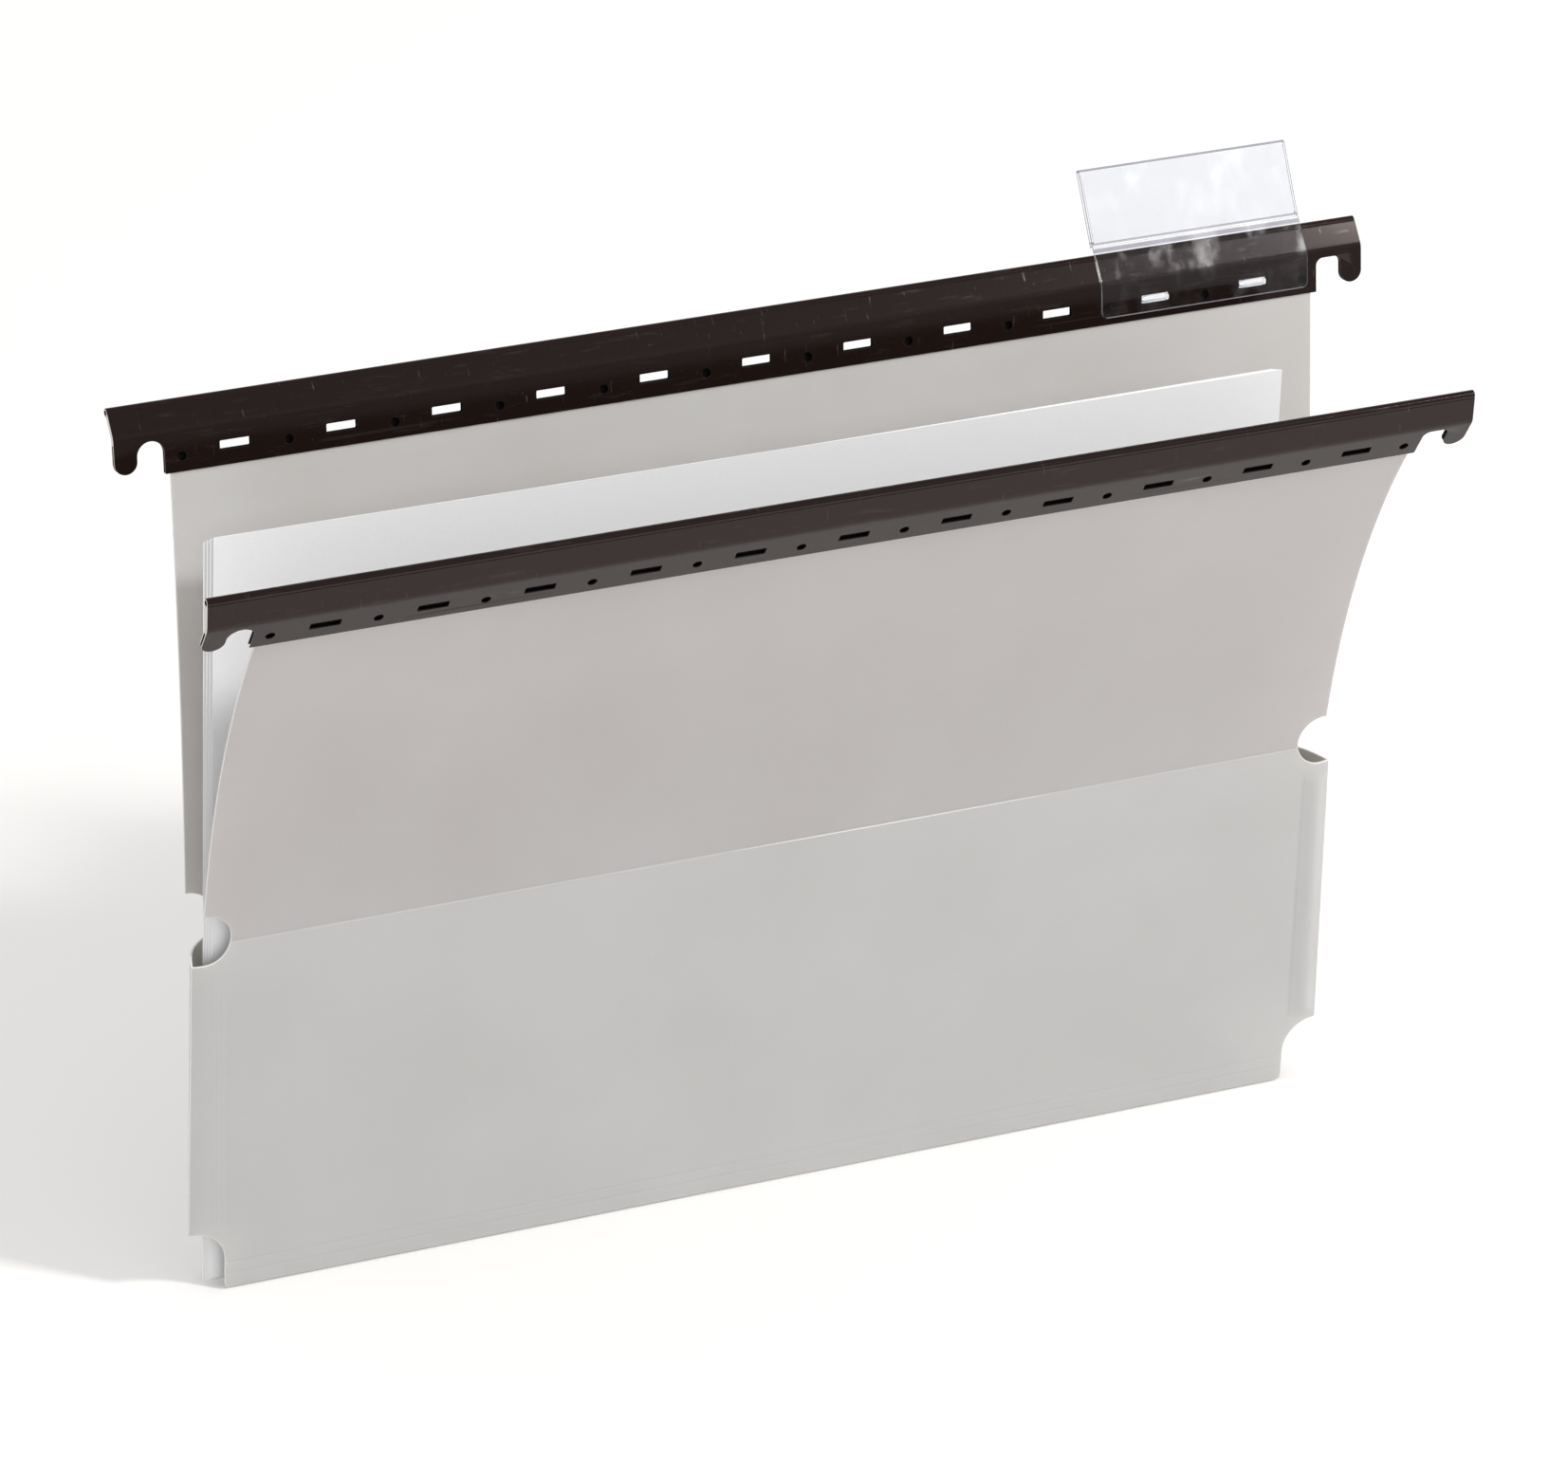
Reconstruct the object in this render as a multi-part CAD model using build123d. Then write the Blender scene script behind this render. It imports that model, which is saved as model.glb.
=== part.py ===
from build123d import *
import os
from collections import namedtuple
from math import asin, atan2, cos, degrees, radians, sin, tan

# Hanging file folder: a creased plastic sheet between two hooked steel rails, with a clear index tab,
# its card and loose papers. Millimetres, +X along the rails, +Y to the back, +Z up. Pieces are drawn
# standing on the base, at z = 0, and then moved so that the origin lies between the back hooks.
# A lean is an angle from upright in degrees, positive to the back.

# Loose papers, whose width sets the folder's
PAPER_COUNT = 4
PAPER_WIDTH = 297.0
PAPER_HEIGHT = 210.0
PAPER_THICKNESS = 0.25
PAPER_GAP = 0.15
PAPER_SHIFT = -7.8           # the front sheet's middle along X
PAPER_SETBACK = -1.2         # how far the papers' feet lie behind the base's middle
PAPER_FAN_SHIFT = 0.4        # each sheet further back lies this much further left
PAPER_FAN_LIFT = 0.45        # each sheet further front is lifted this much more at its left end
PAPER_FLOOR_GAP = 0.3
PAPER_SIDE_ROOM = 11.0       # what the pocket's flat panels are wider than a paper

# Plastic sheet
SHEET_THICKNESS = 0.55
CREASE_HEIGHT = 100.6
CREASE_GAP = 0.12            # slit between flap and pocket along a crease
CREASE_BEVEL_ANGLE = 24.0    # slope of a flap's lower edge, which lets it fold inwards

# Pocket, a flat tube with bevelled sides and a closed base
BASE_DEPTH = 10.4
MOUTH_DEPTH = 12.5
MOUTH_OFFSET = 3.05          # how far the mouth lies behind the base
MOUTH_NARROWING = 2.2        # how much narrower the mouth is than the base
SIDE_FOLD_WIDTH = 9.1        # along X, from the fold of a panel to the outer edge
BASE_NOTCH_DEPTH = 10.0      # notches in the lower corners
BASE_NOTCH_HEIGHT = 17.4
BASE_NOTCH_RADIUS = 8.5
BASE_CORNER_RADIUS = 2.0
SIDE_NOTCH_DEPTH = 11.4      # round notches at the ends of the creases
SIDE_NOTCH_RADIUS = 7.3
SIDE_NOTCH_RISE = 1.7        # a round notch's middle above the crease

# Flaps above the pocket, each bending evenly from crease to rail
FLAP_INSET = 3.8             # how far a flap's side lies inside the pocket's
FRONT_FLAP_LENGTH = 106.8
FRONT_CREASE_ANGLE = -4.6
FRONT_RAIL_ANGLE = -31.0
BACK_FLAP_LENGTH = 121.9
BACK_CREASE_ANGLE = 3.05
BACK_RAIL_ANGLE = 9.0

# Rails, a folded steel strip each
RAIL_THICKNESS = 1.5
FLANGE_HEIGHT = 10.7
STRIP_HEIGHT = 8.2
RAIL_BEND_ANGLE = 30.0
RAIL_BEND_RADIUS = 3.0
BEAD_DIAMETER = 2.4
BEAD_BORE = 1.2
GROOVE_DEPTH = 9.0           # the slit in the rail's lower edge that takes the sheet
GROOVE_CLEARANCE = 0.05
HOOK_LEG_WIDTH = 6.1
HOOK_LEG_SHORTENING = 1.3
HOOK_NOTCH_INSET = 1.4       # from the sheet's side to the notch behind a hook
HOOK_NOTCH_WIDTH = 7.2
HOOK_NOTCH_DEPTH = 9.0
HOOK_NOTCH_CORNER = 2.0
SLOT_COUNT = 11
SLOT_END_MARGIN = 32.0       # from a rail's end to the middle of its first slot
SLOT_LENGTH = 8.2
SLOT_HEIGHT = 2.4
SLOT_LEVEL = 5.2
HOLE_DIAMETER = 2.5
HOLE_LEVEL = 4.1             # round holes that clinch the sheet in the rail
SLOT_CLEARANCE = 0.15        # how much a slot in the sheet is larger on each side

# Index tab and its card
TAB_SIDE = 15.8              # from the middle of a lug to the tab's side
TAB_THICKNESS = 0.7
TAB_GAP = 0.1
TAB_FOOT_LEVEL = 2.0
TAB_FIRST_SLOT = 9           # the lugs sit in this slot, counted from 0, and in the next
TAB_RISE = 2.0               # from the rail's bead to the label pocket
TAB_UPRIGHTING_ANGLE = 8.0   # how much steeper the label pocket stands than the rail's strip
TAB_CORNER_RADIUS = 1.5
LABEL_POCKET_HEIGHT = 20.4
CARD_INSET = 1.5             # from the tab's side to the card's
CARD_HEIGHT = 17.5
CARD_THICKNESS = 0.25
CARD_CLEARANCE = 0.15
LUG_CLEARANCE = 0.3
LUG_REACH = 1.3              # how far a lug stands out behind the rail

CUT_MARGIN = 1.0             # how far a cutter runs past the material
RIGHT_ANGLE = 90.0

# Sizes that follow from those above
POCKET_FLAT_WIDTH = PAPER_WIDTH + PAPER_SIDE_ROOM
POCKET_BASE_WIDTH = POCKET_FLAT_WIDTH + 2 * SIDE_FOLD_WIDTH
POCKET_MOUTH_WIDTH = POCKET_BASE_WIDTH - MOUTH_NARROWING
BASE_NOTCH_WIDTH = POCKET_BASE_WIDTH - 2 * BASE_NOTCH_DEPTH
SIDE_NOTCH_WIDTH = POCKET_BASE_WIDTH - 2 * SIDE_NOTCH_DEPTH
SIDE_NOTCH_HEIGHT = CREASE_HEIGHT + SIDE_NOTCH_RISE
MOUTH_FRONT = MOUTH_OFFSET - MOUTH_DEPTH / 2
MOUTH_BACK = MOUTH_OFFSET + MOUTH_DEPTH / 2
FLAP_WIDTH = POCKET_BASE_WIDTH - 2 * FLAP_INSET
RAIL_LENGTH = FLAP_WIDTH + 2 * (HOOK_NOTCH_INSET + HOOK_NOTCH_WIDTH + HOOK_LEG_WIDTH)
SLOT_PITCH = (RAIL_LENGTH - 2 * SLOT_END_MARGIN) / (SLOT_COUNT - 1)
TAB_WIDTH = SLOT_PITCH + 2 * TAB_SIDE
CARD_WIDTH = TAB_WIDTH - 2 * CARD_INSET
TAB_OFFSET = RAIL_THICKNESS / 2 + TAB_GAP + TAB_THICKNESS / 2
LABEL_LEAN = RAIL_BEND_ANGLE - TAB_UPRIGHTING_ANGLE
LABEL_GAP = CARD_THICKNESS + 2 * CARD_CLEARANCE

Leaf = namedtuple("Leaf", "crease_y lean_crease lean_rail length inward")
FRONT_LEAF = Leaf(MOUTH_FRONT, FRONT_CREASE_ANGLE, FRONT_RAIL_ANGLE, FRONT_FLAP_LENGTH, 1)
BACK_LEAF = Leaf(MOUTH_BACK, BACK_CREASE_ANGLE, BACK_RAIL_ANGLE, BACK_FLAP_LENGTH, -1)


def stepped(point, lean, length):
    """The point reached from a (y, z) point by going a length up along a lean."""
    return (point[0] + length * sin(radians(lean)), point[1] + length * cos(radians(lean)))


def leaf_point(leaf, share):
    """The (y, z) point on a leaf's middle surface at a share of its length above the crease."""
    start = (leaf.crease_y + leaf.inward * SHEET_THICKNESS / 2, CREASE_HEIGHT)
    half_turn = (leaf.lean_rail - leaf.lean_crease) * share / 2
    chord = leaf.length * share * sin(radians(half_turn)) / radians(half_turn)
    return stepped(start, leaf.lean_crease + half_turn, chord)


def rail_place(leaf):
    """Where a rail's own frame lies: X along the rail, Z up its flange from the lower edge."""
    y, z = leaf_point(leaf, 1)
    return Pos(0, y, z) * Rot(-leaf.lean_rail, 0, 0)


def hook_crown():
    """The (y, z) point of the back rail's hook crowns, where the part's origin lies."""
    return stepped(leaf_point(BACK_LEAF, 1), BACK_RAIL_ANGLE, HOOK_NOTCH_DEPTH)


def to_part_frame(shape):
    """Move a piece from the standing frame to the part's own."""
    y, z = hook_crown()
    return Pos(0, -y, -z) * shape


def along_x(profile, length):
    """Extrude a profile, drawn in (y, z), evenly to both sides along X."""
    return extrude(Plane.YZ * profile, length / 2, both=True)


def through_y(outline, reach):
    """Extrude an outline, drawn in (x, z), by a reach to both sides along Y."""
    return extrude(Plane.XZ * outline, reach, both=True)


def rectangle(x_low, x_high, z_low, z_high):
    """A rectangle given by its sides."""
    middle = Pos((x_low + x_high) / 2, (z_low + z_high) / 2)
    return middle * Rectangle(x_high - x_low, z_high - z_low)


def both_ends(outline):
    """An outline drawn at +X together with its mirror image at -X."""
    return outline + mirror(outline, about=Plane.YZ)


def side_notches():
    """The round notches at the ends of the creases, as one cutter across both leaves."""
    centre_x = SIDE_NOTCH_WIDTH / 2 + SIDE_NOTCH_RADIUS
    outer_x = POCKET_BASE_WIDTH / 2 + CUT_MARGIN
    low = SIDE_NOTCH_HEIGHT - SIDE_NOTCH_RADIUS
    high = SIDE_NOTCH_HEIGHT + SIDE_NOTCH_RADIUS
    notch = Pos(centre_x, SIDE_NOTCH_HEIGHT) * Circle(SIDE_NOTCH_RADIUS)
    notch += rectangle(centre_x, outer_x, low, high)
    return through_y(both_ends(notch), MOUTH_DEPTH + BASE_DEPTH)


def base_notches():
    """The notches in the pocket's lower corners, with the base's rounded ends."""
    inner_x = BASE_NOTCH_WIDTH / 2
    round_x = inner_x + BASE_NOTCH_RADIUS
    round_z = BASE_NOTCH_HEIGHT - BASE_NOTCH_RADIUS
    outer_x = POCKET_BASE_WIDTH / 2 + CUT_MARGIN
    corner_x = inner_x - BASE_CORNER_RADIUS
    notch = Pos(round_x, round_z) * Circle(BASE_NOTCH_RADIUS)
    notch += rectangle(round_x, outer_x, round_z, BASE_NOTCH_HEIGHT)
    notch += rectangle(inner_x, outer_x, -CUT_MARGIN, round_z)
    corner = rectangle(corner_x, inner_x, -CUT_MARGIN, BASE_CORNER_RADIUS)
    corner -= Pos(corner_x, BASE_CORNER_RADIUS) * Circle(BASE_CORNER_RADIUS)
    return through_y(both_ends(notch + corner), MOUTH_DEPTH + BASE_DEPTH)


def pocket_section(z, inset):
    """The pocket's six-sided section at a height, drawn in by an inset."""
    share = z / CREASE_HEIGHT
    middle = MOUTH_OFFSET * share
    half_depth = (BASE_DEPTH + (MOUTH_DEPTH - BASE_DEPTH) * share) / 2
    half_width = (POCKET_BASE_WIDTH + (POCKET_MOUTH_WIDTH - POCKET_BASE_WIDTH) * share) / 2
    half_flat = POCKET_FLAT_WIDTH / 2
    side_angle = atan2(half_depth, half_width - half_flat)
    tip = half_width - inset / sin(side_angle)
    shoulder = half_flat - inset * tan(side_angle / 2)
    front = middle - half_depth + inset
    back = middle + half_depth - inset
    right = [(shoulder, front), (tip, middle), (shoulder, back)]
    left = [(-shoulder, back), (-tip, middle), (-shoulder, front)]
    return Pos(0, 0, z) * make_face(Polyline(*right, *left, close=True))


def pocket_sheet():
    """The pocket: front and back panel, bevelled sides and base, with its notches."""
    outside = loft([pocket_section(0, 0), pocket_section(CREASE_HEIGHT, 0)], ruled=True)
    inside_low = pocket_section(SHEET_THICKNESS, SHEET_THICKNESS)
    inside_high = pocket_section(CREASE_HEIGHT + CUT_MARGIN, SHEET_THICKNESS)
    inside = loft([inside_low, inside_high], ruled=True)
    return outside - inside - side_notches() - base_notches()


def slot_x(index):
    """Where a rail's slot lies along X, counted from 0 at the left."""
    return (index - (SLOT_COUNT - 1) / 2) * SLOT_PITCH


def punches(clearance):
    """Cutters for a rail's slots, and for the round holes halfway between them and past the end ones.

    The holes go in from the front, through the sheet, and leave the rail's back wall whole.
    """
    reach = 2 * RAIL_THICKNESS
    slot = Pos(0, 0, SLOT_LEVEL) * Box(SLOT_LENGTH + 2 * clearance, reach, SLOT_HEIGHT + 2 * clearance)
    hole_y = SHEET_THICKNESS / 2 + GROOVE_CLEARANCE - reach / 2
    hole = Pos(0, hole_y, HOLE_LEVEL) * Rot(RIGHT_ANGLE, 0, 0) * Cylinder(HOLE_DIAMETER / 2, reach)
    slots = [Pos(slot_x(index), 0, 0) * slot for index in range(SLOT_COUNT)]
    holes = [Pos(slot_x(index - 0.5), 0, 0) * hole for index in range(SLOT_COUNT + 1)]
    return slots + holes


def flap(leaf):
    """A flap from its crease into the groove of its rail, with the rail's holes punched through."""
    low = (leaf.crease_y + leaf.inward * SHEET_THICKNESS / 2, CREASE_HEIGHT)
    high = leaf_point(leaf, 1)
    tucked = stepped(high, leaf.lean_rail, GROOVE_DEPTH - 2 * GROOVE_CLEARANCE)
    path = ThreePointArc(low, leaf_point(leaf, 0.5), high) + Line(high, tucked)
    inner_y = leaf.crease_y + leaf.inward * MOUTH_DEPTH / 2
    outer_y = leaf.crease_y - leaf.inward * CUT_MARGIN
    slope = leaf.inward * tan(radians(CREASE_BEVEL_ANGLE))
    lower_edge = [(y, CREASE_HEIGHT + CREASE_GAP + (y - leaf.crease_y) * slope) for y in (outer_y, inner_y)]
    below = [(inner_y, CREASE_HEIGHT - CUT_MARGIN), (outer_y, CREASE_HEIGHT - CUT_MARGIN)]
    profile = trace(path, SHEET_THICKNESS) - make_face(Polyline(*lower_edge, *below, close=True))
    cutters = [rail_place(leaf) * punch for punch in punches(SLOT_CLEARANCE)]
    return along_x(profile, FLAP_WIDTH) - side_notches() - cutters


def rail_profile():
    """A rail's section: flange and bent strip, the hollow bead on top and the groove for the sheet."""
    bend = (0, FLANGE_HEIGHT)
    top = stepped(bend, RAIL_BEND_ANGLE, STRIP_HEIGHT - BEAD_DIAMETER / 2)
    bead_shift = (BEAD_DIAMETER - RAIL_THICKNESS) / 2
    bead_centre = stepped(top, RAIL_BEND_ANGLE + RIGHT_ANGLE, bead_shift)
    band = trace(FilletPolyline((0, 0), bend, top, radius=RAIL_BEND_RADIUS), RAIL_THICKNESS)
    bead = Pos(*bead_centre)
    half_groove = SHEET_THICKNESS / 2 + GROOVE_CLEARANCE
    groove = rectangle(-half_groove, half_groove, -CUT_MARGIN, GROOVE_DEPTH)
    return band + bead * Circle(BEAD_DIAMETER / 2) - bead * Circle(BEAD_BORE / 2) - groove


def hook_cutter(notch):
    """What is cut off a rail's end to leave a hook: a notch and the space below the rounded leg."""
    leg_end = RAIL_LENGTH / 2
    leg_x = leg_end - HOOK_LEG_WIDTH / 2
    round_z = HOOK_LEG_SHORTENING + HOOK_LEG_WIDTH / 2
    under_leg = rectangle(leg_end - HOOK_LEG_WIDTH, leg_end + CUT_MARGIN, -CUT_MARGIN, round_z)
    under_leg -= Pos(leg_x, round_z) * Circle(HOOK_LEG_WIDTH / 2)
    return notch + under_leg


def hook_notch(corner):
    """The notch behind a rail's hook at +X, with its upper corners rounded."""
    outer_x = RAIL_LENGTH / 2 - HOOK_LEG_WIDTH
    inner_x = outer_x - HOOK_NOTCH_WIDTH
    round_z = HOOK_NOTCH_DEPTH - corner
    notch = rectangle(inner_x, outer_x, -CUT_MARGIN, round_z)
    for centre_x in (inner_x + corner, outer_x - corner):
        notch += Pos(centre_x, round_z) * Circle(corner)
    if corner < HOOK_NOTCH_WIDTH / 2:
        notch += rectangle(inner_x + corner, outer_x - corner, round_z, HOOK_NOTCH_DEPTH)
    return notch


def rail():
    """A rail in its own frame: the left hook has a round crown, the right one a flat crown."""
    body = along_x(rail_profile(), RAIL_LENGTH)
    reach = 2 * RAIL_THICKNESS
    round_hook = mirror(hook_cutter(hook_notch(HOOK_NOTCH_WIDTH / 2)), about=Plane.YZ)
    flat_hook = hook_cutter(hook_notch(HOOK_NOTCH_CORNER))
    body -= [through_y(round_hook, reach), through_y(flat_hook, reach)]
    return body - punches(0)


def tab_x():
    """Where the tab's middle lies along X, between the two slots that its lugs sit in."""
    return slot_x(TAB_FIRST_SLOT + 0.5)


def tab_points():
    """The corners of the tab's front plate in the rail's section: foot, bend, label pocket's foot."""
    foot = (-TAB_OFFSET, TAB_FOOT_LEVEL)
    bend = (-TAB_OFFSET, FLANGE_HEIGHT + TAB_OFFSET * tan(radians(RAIL_BEND_ANGLE / 2)))
    pocket_foot = stepped(bend, RAIL_BEND_ANGLE, STRIP_HEIGHT + TAB_RISE)
    return foot, bend, pocket_foot


def label_line(depth, low, high):
    """A line up the label pocket, a depth behind the front plate's middle."""
    start = stepped(tab_points()[2], LABEL_LEAN + RIGHT_ANGLE, depth)
    return Line(stepped(start, LABEL_LEAN, low), stepped(start, LABEL_LEAN, high))


def index_tab():
    """The clear tab in the rail's frame: a bent front plate, a flat label pocket and two lugs."""
    plate = trace(FilletPolyline(*tab_points(), radius=RAIL_BEND_RADIUS + TAB_OFFSET), TAB_THICKNESS)
    middle = (TAB_THICKNESS + LABEL_GAP) / 2
    plate += trace(label_line(middle, 0, LABEL_POCKET_HEIGHT), 2 * TAB_THICKNESS + LABEL_GAP)
    room = LABEL_POCKET_HEIGHT - TAB_THICKNESS
    plate -= trace(label_line(middle, TAB_THICKNESS, room), LABEL_GAP)
    body = along_x(plate, TAB_WIDTH)
    foot_corners = body.edges().filter_by(Axis.Y).group_by(Axis.Z)[0]
    body = fillet(foot_corners, TAB_CORNER_RADIUS)
    lug_length = TAB_OFFSET + RAIL_THICKNESS / 2 + LUG_REACH
    lug = Box(SLOT_LENGTH - 2 * LUG_CLEARANCE, lug_length, SLOT_HEIGHT - 2 * LUG_CLEARANCE)
    lug = Pos(0, lug_length / 2 - TAB_OFFSET, SLOT_LEVEL) * lug
    return Pos(tab_x(), 0, 0) * (body + [Pos(side * SLOT_PITCH / 2, 0, 0) * lug for side in (-1, 1)])


def label_card():
    """The card in the tab's label pocket, in the rail's frame."""
    middle = (TAB_THICKNESS + LABEL_GAP) / 2
    low = TAB_THICKNESS + CARD_CLEARANCE
    card = trace(label_line(middle, low, low + CARD_HEIGHT), CARD_THICKNESS)
    return Pos(tab_x(), 0, 0) * along_x(card, CARD_WIDTH)


def paper_lean():
    """The papers' lean, which follows the pocket's front panel."""
    return degrees(atan2(MOUTH_FRONT + BASE_DEPTH / 2, CREASE_HEIGHT))


def paper_sheet(index):
    """A paper in the pocket, counted from 0 at the front, fanned against the others."""
    pitch = PAPER_THICKNESS + PAPER_GAP
    depth = PAPER_SETBACK + (index - (PAPER_COUNT - 1) / 2) * pitch
    lift = (PAPER_COUNT - 1 - index) * PAPER_FAN_LIFT
    shift = PAPER_SHIFT - index * PAPER_FAN_SHIFT
    floor = SHEET_THICKNESS + PAPER_FLOOR_GAP
    sheet = Pos(-PAPER_WIDTH / 2, 0, PAPER_HEIGHT / 2) * Box(PAPER_WIDTH, PAPER_THICKNESS, PAPER_HEIGHT)
    turned = Rot(0, degrees(asin(lift / PAPER_WIDTH)), 0) * sheet
    place = Pos(shift + PAPER_WIDTH / 2, depth, floor) * Rot(-paper_lean(), 0, 0)
    return place * turned


def nodes():
    """Every piece by its node's name, in the part's own frame."""
    pieces = {
        "pocket_sheet": pocket_sheet(),
        "front_flap": flap(FRONT_LEAF),
        "back_flap": flap(BACK_LEAF),
        "front_rail": rail_place(FRONT_LEAF) * rail(),
        "back_rail": rail_place(BACK_LEAF) * rail(),
        "index_tab": rail_place(BACK_LEAF) * index_tab(),
        "label_card": rail_place(BACK_LEAF) * label_card(),
    }
    for index in range(PAPER_COUNT):
        pieces[f"paper_sheet_{index + 1}"] = paper_sheet(index)
    return {name: to_part_frame(piece) for name, piece in pieces.items()}


os.makedirs("parts", exist_ok=True)
for name, piece in nodes().items():
    export_step(piece, f"parts/{name}.step")
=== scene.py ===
from collections import namedtuple
from math import acos, asin, atan2, cos, exp, pi, radians, sin, sqrt, tan

import bmesh
import bpy
from mathutils import Matrix, Vector


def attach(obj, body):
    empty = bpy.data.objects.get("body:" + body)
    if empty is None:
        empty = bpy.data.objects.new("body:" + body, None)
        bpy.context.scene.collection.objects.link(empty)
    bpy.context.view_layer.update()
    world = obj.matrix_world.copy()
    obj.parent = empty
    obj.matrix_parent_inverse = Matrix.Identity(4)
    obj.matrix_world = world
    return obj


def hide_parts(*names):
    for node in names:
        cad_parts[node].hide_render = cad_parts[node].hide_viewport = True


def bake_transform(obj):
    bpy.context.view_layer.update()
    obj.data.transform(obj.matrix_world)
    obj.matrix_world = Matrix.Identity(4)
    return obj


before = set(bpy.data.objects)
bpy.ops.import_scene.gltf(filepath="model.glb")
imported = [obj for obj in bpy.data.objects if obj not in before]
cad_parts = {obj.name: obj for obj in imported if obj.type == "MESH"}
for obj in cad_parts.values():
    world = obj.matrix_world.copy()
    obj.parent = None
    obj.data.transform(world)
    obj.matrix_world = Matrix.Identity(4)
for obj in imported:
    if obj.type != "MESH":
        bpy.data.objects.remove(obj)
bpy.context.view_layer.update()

# Lengths are in millimetres, as in the solids, and become metres when a piece is placed. A lean is an
# angle from upright in degrees, positive to the back. Pieces are drawn standing on the base, at z = 0.
MM = 0.001

# Plastic sheet
SHEET = 0.55
CREASE_HEIGHT = 100.6
BASE_DEPTH = 10.4
BASE_ROUND = 0.9
MOUTH_DEPTH = 12.5
MOUTH_OFFSET = 3.05
MOUTH_FRONT = MOUTH_OFFSET - MOUTH_DEPTH / 2
MOUTH_BACK = MOUTH_OFFSET + MOUTH_DEPTH / 2
POCKET_FLAT_HALF = 154.0
POCKET_BASE_HALF = 163.1
POCKET_MOUTH_HALF = 162.0
BASE_NOTCH_X = 153.1
BASE_NOTCH_HEIGHT = 17.4
BASE_NOTCH_RADIUS = 8.5
BASE_CORNER_RADIUS = 2.0
SIDE_NOTCH_X = 151.7
SIDE_NOTCH_RADIUS = 7.3
SIDE_NOTCH_HEIGHT = 102.3
FLAP_HALF = 159.3
FLAP_SIDE_BAND = 1.0         # a flap's own cut edges, where no wall of an opening lies
FLAP_TOP_BAND = 0.5
SHEET_EDGE_ROUND = 0.1
SCORE_HEIGHTS = (7.8, 4.6)
SCORE_DEPTH = 0.07
SCORE_SPREAD = 0.22          # how far the pressing of a score spreads up and down
CREASE_STRIP = 0.3           # half the height of the pale line along a crease
CREASE_RAISE = 0.04          # how much thicker the sheet is there
CREASE_END_GAP = 0.05
CREASE_CORNER = 0.2
CREASE_EDGE_ROUND = 0.12
CREASE_BLEND_SHARE = 0.9     # a share of the line's height about the crease; nothing that is built uses it
LEFT_FOLD_SHARE = 0.05       # how much of the pocket's depth the front panel turns in at a side
RIGHT_FOLD_SHARE = 0.08
FOLD_POWER = 2.6             # the higher, the nearer to its fold a panel turns in
LEFT_LINES = (152.7, 154.6, 155.7, 157.0)
LINE_DEPTH = 0.035
LINE_SPREAD = 0.2
RIB_STEP = 0.14              # the rise of the rib beside the right fold, at its edge and to its crest
RIB_SWELL = 0.6
RIB_EDGE_SHARE = 0.05        # where its edge and its crest lie between the flat panel and the fold
RIB_CREST_SHARE = 0.55

# The lines and the rib fade in above the notch at the base and fade out below the mouth. The panels are
# cut at these stations to follow them.
PRESSED_FOOT = (BASE_NOTCH_HEIGHT + 0.8, BASE_NOTCH_HEIGHT + 4)
PRESSED_HEAD = (89.5, 93.5)
PRESSED_STATIONS = (18.2, 18.8, 19.4, 20, 20.7, 21.4, 90, 90.8, 91.6, 92.4, 93.2)

# A large flat of sheet is slightly uneven. This fades out at its lower edge, at the pocket's sides and
# below a rail.
SLACK_DEPTH = 0.16
SLACK_HEIGHT = 14.0
SLACK_SIDES = (140.0, 152.0)
SLACK_BELOW_RAIL = (18.0, 2.0)
BROAD_WAVE = (41.0, 33.0)
BROAD_WAVE_START = (0.6, 1.1)
NARROW_WAVE = (23.0, 37.0)
NARROW_WAVE_SHARE = 0.5

# Rails
RAIL_HALF = 174.0
RAIL_THICKNESS = 1.5
FLANGE_HEIGHT = 10.7
STRIP_HEIGHT = 8.2
RAIL_BEND = 30.0
RAIL_BEND_RADIUS = 3.0
BEAD_RADIUS = 1.2
BEAD_BORE_RADIUS = 0.6
GROOVE_DEPTH = 9.0
GROOVE_HALF = 0.325
HOOK_LEG_WIDTH = 6.1
HOOK_LEG_SHORTENING = 1.3
HOOK_NOTCH_WIDTH = 7.2
HOOK_NOTCH_DEPTH = 9.0
HOOK_NOTCH_CORNER = 2.0
SLOT_COUNT = 11
SLOT_PITCH = 28.4
SLOT_LENGTH = 8.2
SLOT_HEIGHT = 2.4
SLOT_LEVEL = 5.2
SLOT_CORNER = 0.3
HOLE_RADIUS = 1.25
HOLE_LEVEL = 4.1
TUCK = 8.9                   # how far the sheet goes up into a rail
SHEET_SLOT_ROOM = 0.6        # how much wider the sheet's openings are than slots and holes, all round
SHEET_HOLE_ROOM = 0.5
RAIL_EDGE_ROUND = 0.1
RAIL_END_BAND = 0.3          # the cut end of the strip, which is bare steel
HOOK_ROOM = 14.0             # a rail's slots and holes lie further in from its end than this
PUNCHED_LEVELS = (1.0, SLOT_LEVEL + 2.0)
FRONT_WALL_GAP = 0.5         # how far below the bead's middle a wall ends
BACK_WALL_GAP = 0.8
FILLER_LAP = 0.1             # how far the strip above the groove goes into the two walls, in all
BEAD_CHAMFER = 0.12
BEAD_BORE_LEAD = 3 * (BEAD_RADIUS - BEAD_BORE_RADIUS)

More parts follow.
